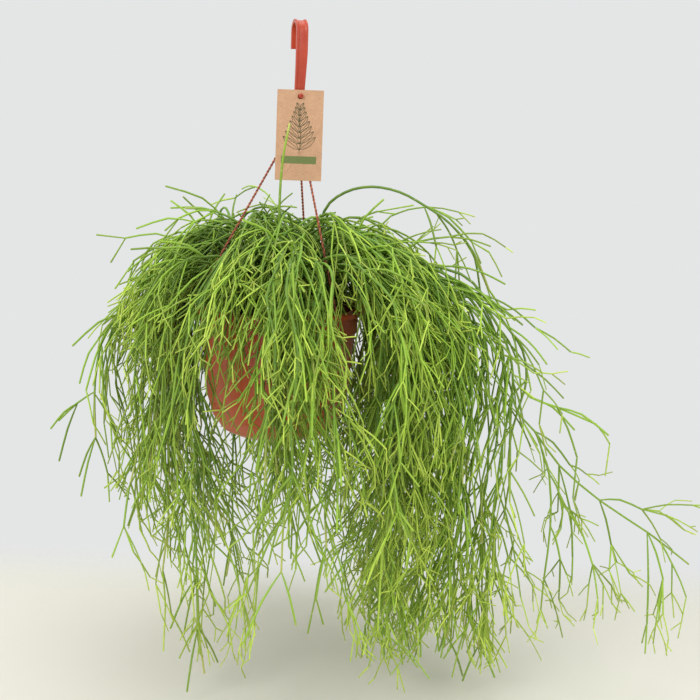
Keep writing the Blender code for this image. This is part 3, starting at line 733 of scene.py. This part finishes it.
OPEN_SPRAYS = (1, 2)  # the stems on the right, which reach out of the dome
SINGLE_SPRAYS = (1, 4, 5)  # stems with no companions from the same root
YOUNG_SPRAY = 4
LOW_DOWN = -0.5  # the height below which open sprays bear one more side stem a joint
COMPANION_TRIES = 14
ROOT_STEP = 0.0025  # from the root of a main stem to a companion's
END_NUMBERS = (2, 3)
# Numbers of side stems to draw from, up to each joint of a main stem
SIDE_NUMBERS = ((4, (0, 0, 1)), (7, (0, 1, 1)), (math.inf, (0, 1, 1, 2)))

# The stems that stand out, in millimetres: the root's place on the soil and then the points of the
# main stem, and the points of each side stem
STAND_OUT_ROWS = [
    # a long dark stem that rises highest and arches to the right
    [
        [(24, 0), (25, 0, -250), (32, -2, -200), (54, -10, -178), (83, -20, -170), (113, -30, -174),
         (140, -35, -187), (168, -38, -205), (195, -40, -235), (214, -40, -275)],
    ],
    # the right-hand stem with the stray shoot, the widest of all
    [
        [(48, 12), (52, 11, -285), (75, 0, -250), (117, -30, -243), (176, -50, -264), (205, -60, -287),
         (224, -64, -312), (237, -68, -340), (242, -70, -370), (240, -70, -398), (235, -70, -440),
         (231, -70, -490), (229, -68, -550), (226, -66, -620), (222, -66, -680)],
        [(240, -70, -396), (269, -70, -424), (300, -62, -464), (350, -52, -506), (410, -40, -546),
         (461, -30, -585)],
        [(408, -40, -545), (414, -40, -600), (417, -40, -655)],
        [(242, -70, -366), (261, -74, -385), (290, -78, -394), (333, -80, -411)],
        [(269, -70, -423), (287, -74, -470), (292, -76, -530), (289, -76, -590)],
        [(299, -62, -463), (318, -50, -520), (325, -46, -575)],
    ],
    # a dark stem that arches low over the left of the rim
    [
        [(-62, -8), (-64, -8, -285), (-80, -10, -262), (-105, -14, -266), (-132, -22, -280),
         (-160, -28, -299), (-185, -30, -316), (-204, -30, -338), (-213, -30, -370), (-217, -30, -410),
         (-216, -30, -460)],
        [(-216, -30, -406), (-236, -32, -420), (-256, -34, -440)],
        [(-204, -30, -337), (-222, -34, -362), (-232, -36, -396)],
    ],
    # a young shoot that still stands upright in front of the tag
    [
        [(-13, -34), (-14, -35, -270), (-15, -40, -211), (-14, -44, -165), (-11, -45, -134),
         (-6, -45, -106)],
        [(-15, -39, -222), (-22, -40, -200), (-27, -44, -192)],
    ],
    # a stem that leaves the crown high on the left and stays level
    [
        [(-34, 14), (-36, 14, -265), (-50, 6, -226), (-89, 2, -204), (-121, 0, -202)],
        [(-88, 2, -205), (-110, -10, -216), (-126, -18, -232)],
    ],
]
STAND_OUT_STEMS = [
    [[tuple(value / 1000 for value in point) for point in row] for row in rows] for rows in STAND_OUT_ROWS
]


def unit(vector):
    return vector / np.linalg.norm(vector)


def hem(x):
    """The height of the curtain's lower edge, which hangs in two lobes."""
    left = math.exp(-(((x + 0.075) / 0.060) ** 2))
    right = math.exp(-(((x - 0.170) / 0.110) ** 2))
    return -0.520 - 0.190 * max(left, right)


def main_stem(draw, root, azimuth):
    """A stem that rises from the soil, arches over the rim and hangs."""
    root_radius = math.hypot(root[0] - POT_X, root[1])
    inner = 1 - root_radius / ROOT_SPREAD
    crown = -0.247 + 0.034 * inner + draw.uniform(-0.018, 0.008)
    rightward = max(0.0, math.cos(azimuth))
    reach = draw.uniform(0.118, 0.172) + 0.035 * inner + 0.034 * rightward
    shoulder = root_radius + (reach - root_radius) * draw.uniform(0.42, 0.55)
    drop = draw.uniform(0.10, 0.17)
    swirl = draw.uniform(-0.25, 0.25)
    rows = []
    for degrees in (28, 60, 90):
        turn = math.radians(degrees)
        out = root_radius + (shoulder - root_radius) * (1 - math.cos(turn))
        rows.append((out, SOIL_Z + (crown - SOIL_Z) * math.sin(turn)))
    for degrees in (24, 46, 66, 84):
        turn = math.radians(degrees)
        out = shoulder + (reach - shoulder) * math.sin(turn)
        rows.append((out, crown - drop * (1 - math.cos(turn))))
    lean = draw.uniform(-0.10, 0.06)
    tip = hem(around(reach, azimuth, 0)[0]) + 0.16 * draw.random() ** 2
    while rows[-1][1] > tip:
        rows.append((rows[-1][0] + 0.05 * lean, rows[-1][1] - draw.uniform(0.042, 0.058)))
    points = [np.array([*root, SOIL_Z - ROOT_DEPTH + FIT_GAP]), np.array([*root, SOIL_Z + 0.006])]
    for out, z in rows:
        if z < tip - 0.02:
            break
        turned_to = azimuth + swirl * (out - root_radius) / 0.15
        shift = np.array([draw.gauss(0, 0.0035), draw.gauss(0, 0.0035), draw.gauss(0, 0.002)])
        points.append(around(out, turned_to, z) + shift)
    return np.array(points)


def side_stem(draw, start, heading, length):
    """A side stem that leaves its joint at a slant and sinks under its own weight."""
    across = unit(np.cross(heading, unit(np.array([draw.gauss(0, 1) for _ in range(3)]))))
    spread = math.radians(draw.uniform(22, 44))
    way = unit(heading * math.cos(spread) + across * math.sin(spread))
    middle = start + way * 0.45 * length
    end = middle + unit(way - 0.45 * UP) * 0.55 * length
    return np.array([start, middle, end])


def along(points, share):
    """A point on a line at a share of its number of spans, and the heading there."""
    place = share * (len(points) - 1)
    span = min(int(place), len(points) - 2)
    heading = unit(points[span + 1] - points[span])
    return points[span] + (points[span + 1] - points[span]) * (place - span), heading


def distances(lines, a, b):
    """The distance from the line a-b to each of the lines, an array of pairs of points."""
    one, two, back = b - a, lines[:, 1] - lines[:, 0], a - lines[:, 0]
    length, lengths = one @ one, (two * two).sum(1)
    cross, f, c = two @ one, (two * back).sum(1), back @ one
    s = np.clip((cross * f - c * lengths) / np.maximum(length * lengths - cross**2, 1e-15), 0, 1)
    t = np.clip((cross * s + f) / lengths, 0, 1)
    s = np.clip((cross * t - c) / length, 0, 1)
    return np.linalg.norm(back + s[:, None] * one - t[:, None] * two, axis=1)


def clear_of_pot(points):
    """Whether a line keeps out of the pot's walls and of the soil."""
    for a, b in zip(points[:-1], points[1:]):
        step = a + (b - a) * np.linspace(0, 1, 9)[:, None]
        out = np.hypot(step[:, 0] - POT_X, step[:, 1])
        beside = (step[:, 2] < RIM_Z + 0.003) & (step[:, 2] > RIM_Z - POT_HEIGHT - 0.004)
        over_soil = (step[:, 2] > SOIL_Z + 0.0035) & (out < COLLAR_RADIUS - 0.008)
        if (beside & (out < POT_RIM_RADIUS + 0.0035) & ~over_soil).any():
            return False
    return True


def in_window(point):
    """Whether a point is in front of the places where the pot shows between the stems."""
    x, y, z = point
    left = -0.100 < x < -0.028 and -0.455 < z < -0.300
    right = 0.048 < x < 0.072 and -0.355 < z < -0.305
    return y < -0.03 and (left or right)


def is_clear(points, radius, taken):
    """Whether a stem keeps clear of the pot and of everything already in place."""
    low, high = points.min(0), points.max(0)
    if not clear_of_pot(points) or high[2] > CEILING or low[2] < FLOOR or low[0] < LEFT_END:
        return False
    lines, radii = taken
    for a, b in zip(points[:-1], points[1:]):
        low, high = np.minimum(a, b) - 0.01, np.maximum(a, b) + 0.01
        near = ((lines.min(1) < high) & (lines.max(1) > low)).all(1)
        if near.any() and (distances(lines[near], a, b) - radii[near]).min() < radius + CLEARANCE:
            return False
    return True


def add_taken(taken, stems):
    """The lines in place, with those of more stems added."""
    lines = [np.stack([points[:-1], points[1:]], 1) for points, _ in stems]
    radii = [np.maximum(width[:-1], width[1:]) for _, width in stems]
    return np.concatenate([taken[0], *lines]), np.concatenate([taken[1], *radii])


def tapered(points, root_radius, tip_radius):
    """A stem: its points, and a radius at each that narrows along it."""
    return points, np.linspace(root_radius, tip_radius, len(points))


def jointed(points, radius):
    """A side stem: its points, and its radii from the narrow joint that it grows out of."""
    radii = np.linspace(radius, TIP_RADIUS, len(points))
    radii[0] = JOINT_RADIUS
    return points, radii


def grow_sides(draw, main, taken, joints):
    """The side stems of a main stem, and the forks at their ends."""
    grown = []
    for joint in joints:
        for _ in range(draw.choice(SIDES_PER_JOINT)):
            for _ in range(8):
                start, heading = along(main, (joint - 0.03) / (len(main) - 1))
                stem = side_stem(draw, start, heading, draw.uniform(0.040, 0.078))
                if is_clear(stem, TWIG_RADIUS, taken):
                    grown.append(jointed(stem, TWIG_RADIUS))
                    break
            else:
                continue
            if draw.random() > FORKED_SHARE:
                continue
            for _ in range(2):
                start, heading = along(stem, 0.98)
                fork = side_stem(draw, start, heading, draw.uniform(0.022, 0.045))[[0, 2]]
                if is_clear(fork, TIP_RADIUS, taken):
                    grown.append(jointed(fork, TIP_RADIUS))
    return grown


def root_places():
    """The places of the drawn stems' roots on the soil, clear of the stand-out stems'."""
    golden = math.pi * (3 - math.sqrt(5))
    kept = [np.array(rows[0][0]) for rows in STAND_OUT_STEMS]
    for number in range(3 * STEMS):
        radius = ROOT_SPREAD * math.sqrt((number + 0.5) / (STEMS + 6))
        azimuth = number * golden
        place = around(radius, azimuth, 0)[:2]
        if radius < ROOT_SPREAD and min(np.linalg.norm(place - other) for other in kept) > 0.009:
            kept.append(place)
            yield place, azimuth


string_lines = [tapered(string_line(azimuth), STRING_RADIUS, STRING_RADIUS) for azimuth in STRING_AZIMUTHS.values()]
strings_taken = add_taken((np.zeros((0, 2, 3)), np.zeros(0)), string_lines)


def grow_plant():
    """Every spray of the plant, each a list of stems with its main stem first."""
    draw = random.Random(SEED)
    taken = strings_taken
    sprays = []
    for (root, *path), *sides in STAND_OUT_STEMS:
        base = [(*root, SOIL_Z - ROOT_DEPTH + FIT_GAP), (*root, SOIL_Z + 0.006)]
        stems = [tapered(np.array(base + path), STEM_RADIUS, TIP_RADIUS)]
        stems += [jointed(np.array(side), TWIG_RADIUS) for side in sides]
        sprays.append(stems)
        taken = add_taken(taken, stems)
    for stems, (_, *sides) in zip(sprays, STAND_OUT_STEMS):
        others = add_taken(strings_taken, sum((s for s in sprays if s is not stems), []))
        main = stems[0][0]
        grown = grow_sides(draw, main, others, range(FIRST_JOINT, len(main)))
        for side in sides:
            grown += grow_sides(draw, np.array(side), others, range(1, len(side) - 1))
        stems += grown
        taken = add_taken(taken, grown)
    for root, azimuth in root_places():
        if len(sprays) == STEMS + len(STAND_OUT_STEMS):
            break
        for _ in range(60):
            main = main_stem(draw, root, azimuth + draw.gauss(0, 0.22))
            if is_clear(main[1:], STEM_RADIUS, taken) and not any(in_window(spot) for spot in main):
                break
        else:
            continue
        stems = [tapered(main, STEM_RADIUS, TIP_RADIUS)]
        stems += grow_sides(draw, main, taken, range(FIRST_JOINT, len(main)))
        sprays.append(stems)
        taken = add_taken(taken, stems)
    return sprays


def has_room(points):
    """Whether a finer stem keeps clear of the pot and the strings, and stays within the plant's reach."""
    low = np.array(cad_box[0]) - EDGE_ROOM
    high = np.array(cad_box[1]) + EDGE_ROOM
    if (points < low).any() or (points > high).any() or points[:, 2].min() < LOWEST_TIP:
        return False
    return is_clear(points, FINE_ROOM, strings_taken)


def within_plant(point, ragged):
    """Whether a stem's end is within the plant's dome and curtain, whose edge is ragged."""
    x, y, z = point
    reach = float(np.interp(z, *FOLIAGE)) + ragged + RIGHT_SPREAD * max(0.0, x) - LEFT_DRAW * max(0.0, -x)
    return math.hypot(x - POT_X, y) < reach and z > hem(x) - HEM_ROOM + ragged


def in_view(points):
    """Where points are in the picture, as slopes from the camera's axis, and how far away."""
    local = (points - np.array(CAMERA_PLACE)) @ np.array(camera.matrix_world.to_3x3())
    return local[:, :2] / -local[:, 2:], -local[:, 2]


string_views = []
for (line, _), shown in zip(string_lines, SHOWN_STRINGS):
    ends, depths = in_view(np.array([line[0], line[0] + (line[1] - line[0]) * shown]))
    string_views.append((*ends, *depths))


def hides_string(points):
    """Whether a stem would hang in front of the strings, which the stems part round."""
    steps = np.linspace(points[:-1], points[1:], 6).reshape(-1, 3)
    seen, depth = in_view(steps)
    for start, end, start_depth, end_depth in string_views:
        way = end - start
        share = np.clip((seen - start) @ way / (way @ way), 0, 1)
        apart = np.linalg.norm(seen - start - share[:, None] * way, axis=1)
        if ((apart < STRING_ROOM) & (depth < start_depth + (end_depth - start_depth) * share)).any():
            return True
    return False


def opens_on_pot(points):
    """Whether a stem would cross one of the places where the pot shows."""
    seen = in_view(np.linspace(points[:-1], points[1:], 3).reshape(-1, 3))[0]
    for left, right, foot, top in POT_OPENINGS:
        if ((seen > (left, foot)) & (seen < (right, top))).all(1).any():
            return True
    return False


def crown_arc(draw, root):
    """A stem of the crown: it rises, bows over to any side and ends above the rim."""
    turn = draw.uniform(0, math.tau)
    out = np.array([math.cos(turn), math.sin(turn), 0.0])
    inner = 1 - math.hypot(root[0] - POT_X, root[1]) / ROOT_SPREAD
    top = draw.uniform(0.064, 0.100) + 0.026 * inner
    reach = draw.uniform(0.045, 0.125)
    base = np.array([root[0] + draw.gauss(0, 0.003), root[1] + draw.gauss(0, 0.003), SOIL_Z])
    bow = [(0.0, 0.0), (0.08, 0.45), (0.26, 0.82), (0.50, 1.0), (0.76, 0.92), (1.0, draw.uniform(0.55, 0.8))]
    points = [base - ROOT_DEPTH * UP] + [base + 0.006 * UP + out * reach * a + UP * top * b for a, b in bow]
    return np.array(points)


def crowding(spot):
    """The share of the side stems that grow at a place."""
    x, _, z = spot
    for left, right, foot, top, share in THIN_PLACES:
        if left < x < right and foot < z < top:
            return share
    return 1.0


def companion(draw, main, free):
    """Another main stem from the same root, which drifts away from the first as it grows."""
    for _ in range(COMPANION_TRIES):
        turn = draw.uniform(2.0, 4.3) if free else draw.uniform(0, math.tau)
        drift = draw.uniform(-0.030, 0.062) if free else draw.uniform(0.012, 0.034)
        inward = 0.0 if free else draw.choice((0.0, 0.3, 0.6))
        share = np.linspace(0, 1, len(main))[:, None] ** 0.7
        shift = np.array([math.cos(turn), math.sin(turn), draw.uniform(-0.6, 0.3)]) * drift
        wander = np.array([[draw.gauss(0, 0.003) for _ in range(3)] for _ in main]) * np.minimum(1, 3 * share)
        points = main + shift * share + wander
        points[:2, :2] += ROOT_STEP * np.array([math.cos(turn), math.sin(turn)])
        points[0, 2], points[1, 2] = main[0, 2], main[1, 2]
        below = np.maximum(0, UNDER_POT_Z - points[:, 2:])
        points[:, :2] += (np.array([POT_X, 0.0]) - points[:, :2]) * np.minimum(0.8, 8 * inward * below)
        points = points[: draw.randint(len(main) - 3 if free else min(6, len(main)), len(main))]
        outside = [point for point in points[1:] if not free and not within_plant(point, 0.004)]
        blocked = opens_on_pot(points) and draw.random() > MAINS_LET_BY
        if has_room(points[1:]) and not outside and not blocked and not hides_string(points):
            return points
    return None


def branch(draw, start, heading, length, spread, sink, spans):
    """The points of one stem from its joint: it leaves at a slant and bends down as it goes."""
    across = unit(np.cross(heading, unit(np.array([draw.gauss(0, 1) for _ in range(3)]))))
    slant = math.radians(draw.uniform(*spread))
    way = unit(heading * math.cos(slant) + across * math.sin(slant))
    points = [start]
    for _ in range(spans):
        points.append(points[-1] + way * length / spans)
        way = unit(way - sink * UP)
    return np.array(points)


# For each order of side stem: its length, its slant, its sag at each span, its spans, its radius,
# and the number of stems that fork from its end
ORDERS = (
    ((0.040, 0.085), (12, 38), 0.26, 3, 0.00112, (1, 2, 2, 3)),
    ((0.026, 0.056), (12, 38), 0.22, 2, 0.00098, (0, 1, 2, 2, 3)),
    ((0.016, 0.036), (14, 42), 0.14, 2, 0.00084, (0, 0, 1, 2, 2)),
    ((0.010, 0.022), (18, 46), 0.05, 2, 0.00074, (0,)),
)


def finer(draw, stems, number):
    """All the stems of one spray: points, radii, age from old to young, a tint, sides and steps."""
    grown, buds = [], []
    free = number in OPEN_SPRAYS
    mains = [stems[0][0]]
    if number not in SINGLE_SPRAYS:
        others = [companion(draw, mains[0], free) for _ in range(7 if free else draw.choice((3, 4, 4)))]
        mains += [points for points in others if points is not None]
    for _ in range(draw.choice((2, 3, 4))):
        points = crown_arc(draw, stems[0][0][0])
        if has_room(points[1:]) and within_plant(points[-1], 0.01) and not hides_string(points):
            mains.append(points)
    for points in mains:
        shoot = number == YOUNG_SPRAY and points is mains[0]
        youth = draw.uniform(-0.10, 0.26) + (0.6 if shoot else 0.0)
        radii = np.linspace(STEM_RADIUS, TIP_RADIUS, len(points))
        grown.append((points, radii, 0.02, 0.28 + youth, draw.random(), 6, 3))
        last = len(points) - 1
        for half_joint in range(5, 2 * last + 1):
            joint = half_joint / 2
            spot, heading = along(points, joint / last)
            numbers = next(numbers for before, numbers in SIDE_NUMBERS if joint < before)
            sides = draw.choice(numbers if joint < last else END_NUMBERS)
            if free and spot[2] < LOW_DOWN:
                sides += 1
            if shoot and joint < last:
                sides = 0
            buds += [(spot, heading, 0, 0.08 + 0.38 * joint / last + youth)] * sides
    for points, radii in stems[1:]:
        level = 1 if len(points) > 2 else 2
        age = 0.30 + 0.15 * level
        grown.append((points, np.maximum(radii, 0.0008), age, age + 0.12, draw.random(), 5, 2))
        buds += [(points[-1], unit(points[-1] - points[-2]), level, age + 0.12)] * 2
    while buds:
        spot, heading, level, age = buds.pop()
        if draw.random() > crowding(spot):
            continue
        lengths, slants, sag, spans, radius, forks = ORDERS[level]
        length = draw.uniform(*lengths)
        ragged = draw.gauss(0, 0.010)
        for _ in range(5):
            points = branch(draw, spot, heading, length, slants, sag, spans)
            if opens_on_pot(points) and draw.random() < SIDES_HELD_BACK:
                continue
            if not free and not within_plant(points[-1], ragged):
                continue
            if has_room(points) and not hides_string(points):
                break
        else:
            continue
        radii = np.linspace(radius, 0.88 * radius, len(points))
        here = age + draw.uniform(-0.08, 0.08)
        grown.append((points, radii, here, here + 0.14, draw.random(), 4, 2 if level < 2 else 1))
        if level < len(ORDERS) - 1:
            buds += [(points[-1], unit(points[-1] - points[-2]), level + 1, age + 0.17)] * draw.choice(forks)
    return grown


def stem_rows(points, radii, steps):
    """A stem's smooth centre line and its radii, drawn in at the joint and rounded at the tip."""
    line = smooth_line(np.column_stack([points, radii]), steps)
    line, radii = line[:, :3], line[:, 3]
    reach = np.linalg.norm(line[1] - line[0])
    way = (line[-1] - line[-2]) / np.linalg.norm(line[-1] - line[-2])
    neck = line[0] + (line[1] - line[0]) * min(0.5, 0.0022 / reach)
    line = np.vstack([line[:1], neck, line[1:], line[-1] + way * radii[-1] * 0.8])
    radii = np.concatenate([[radii[0] * 0.6, radii[0]], radii[1:], [radii[-1] * 0.45]])
    return line, radii


# Living stem: a smooth waxy skin with a soft gloss, blue-green when old and lime when young, straw
# at the growing tips, with a fine grain and pale specks a few millimetres apart where buds sit
stem_finish, tree, shader = finish_named("waxy_stem_skin", IOR=1.45)
look = add_node(tree, "Attribute", attribute_name="growth")
# The stems' colour attribute also carries a painted shade: its age and tint channels are lowered for stems deep
# inside the plant, which darkens them
age_and_shade_mark, share_mark, tint_and_shade_mark = add_node(tree, "SeparateColor", [("Color", look.outputs["Color"])]).outputs
ramp = add_node(tree, "ValToRGB", [("Fac", age_and_shade_mark)])
ramp.color_ramp.elements[0].color = linear("#2d612f")
ramp.color_ramp.elements[1].color = linear("#cfdf5f")
for stop, colour in ((0.3, "#4f812e"), (0.6, "#8cb236")):
    ramp.color_ramp.elements.new(stop).color = linear(colour)
ramp.color_ramp.elements[3].position = 0.95
patches = grain(tree, 130.0, 3.0)
tint = mixed(tree, patches, ramp.outputs["Color"], "#8dab33")
own = ranged(tree, tint_and_shade_mark, target=(0.36, 1.42))
shaded = add_node(tree, "HueSaturation", [("Color", tint), ("Value", own)]).outputs["Color"]
tipped = mixed(tree, ranged(tree, share_mark, (0.86, 1.0), (0.0, 0.75)), shaded, "#dcd67c")
where = add_node(tree, "TexCoord").outputs["Object"]
specks = add_node(tree, "TexVoronoi", [("Vector", where), ("Scale", 170.0)]).outputs["Distance"]
specked = mixed(tree, ranged(tree, specks, (0.10, 0.16), (0.6, 0.0)), tipped, "#c9c79a")
gloss = ranged(tree, patches, target=(0.36, 0.58))
coat(tree, shader, specked, gloss, (grain(tree, 900.0, 2.0), 0.2, 0.0002))

draw = random.Random(BRANCH_SEED)
for number, stems in enumerate(grow_plant(), 1):
    points, faces, growth = [], [], []
    for line, radii, oldest, youngest, own_tint, sides, steps in finer(draw, stems, number):
        line, radii = stem_rows(line, radii, steps)
        add_capped(points, faces, sweep(line, radii, sides, upright_across(line)), sides)
        share = np.repeat(np.linspace(0, 1, len(line)), sides)
        ages = np.clip(oldest + (youngest - oldest) * share, 0, 1)
        # Painted shade: the deeper a stem lies inside the plant's outline, the darker its tint and the older and
        # darker its age colour, in place of the shade of the stems around it
        reach = np.interp(line[:, 2], *FOLIAGE)
        inner = np.clip((reach - np.hypot(line[:, 0] - POT_X, line[:, 1])) / PAINTED_SHADE_DEPTH, 0, 1)
        inner = np.repeat(inner * np.interp(line[:, 2], *INNER_SHADE), sides)
        tints_and_shade = (0.35 + 0.65 * own_tint) * (1 - 0.66 * inner)
        growth.append(np.column_stack([ages * (1 - 0.25 * inner), share, tints_and_shade, np.ones(len(share))]))
    spray = mesh_piece(f"spray_{number:02d}_stems", points, faces, [stem_finish])
    spray.data.color_attributes.new("growth", "FLOAT_COLOR", "POINT")
    spray.data.color_attributes["growth"].data.foreach_set("color", np.vstack(growth).ravel())
    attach(spray, "root")
    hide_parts(f"spray_{number:02d}")
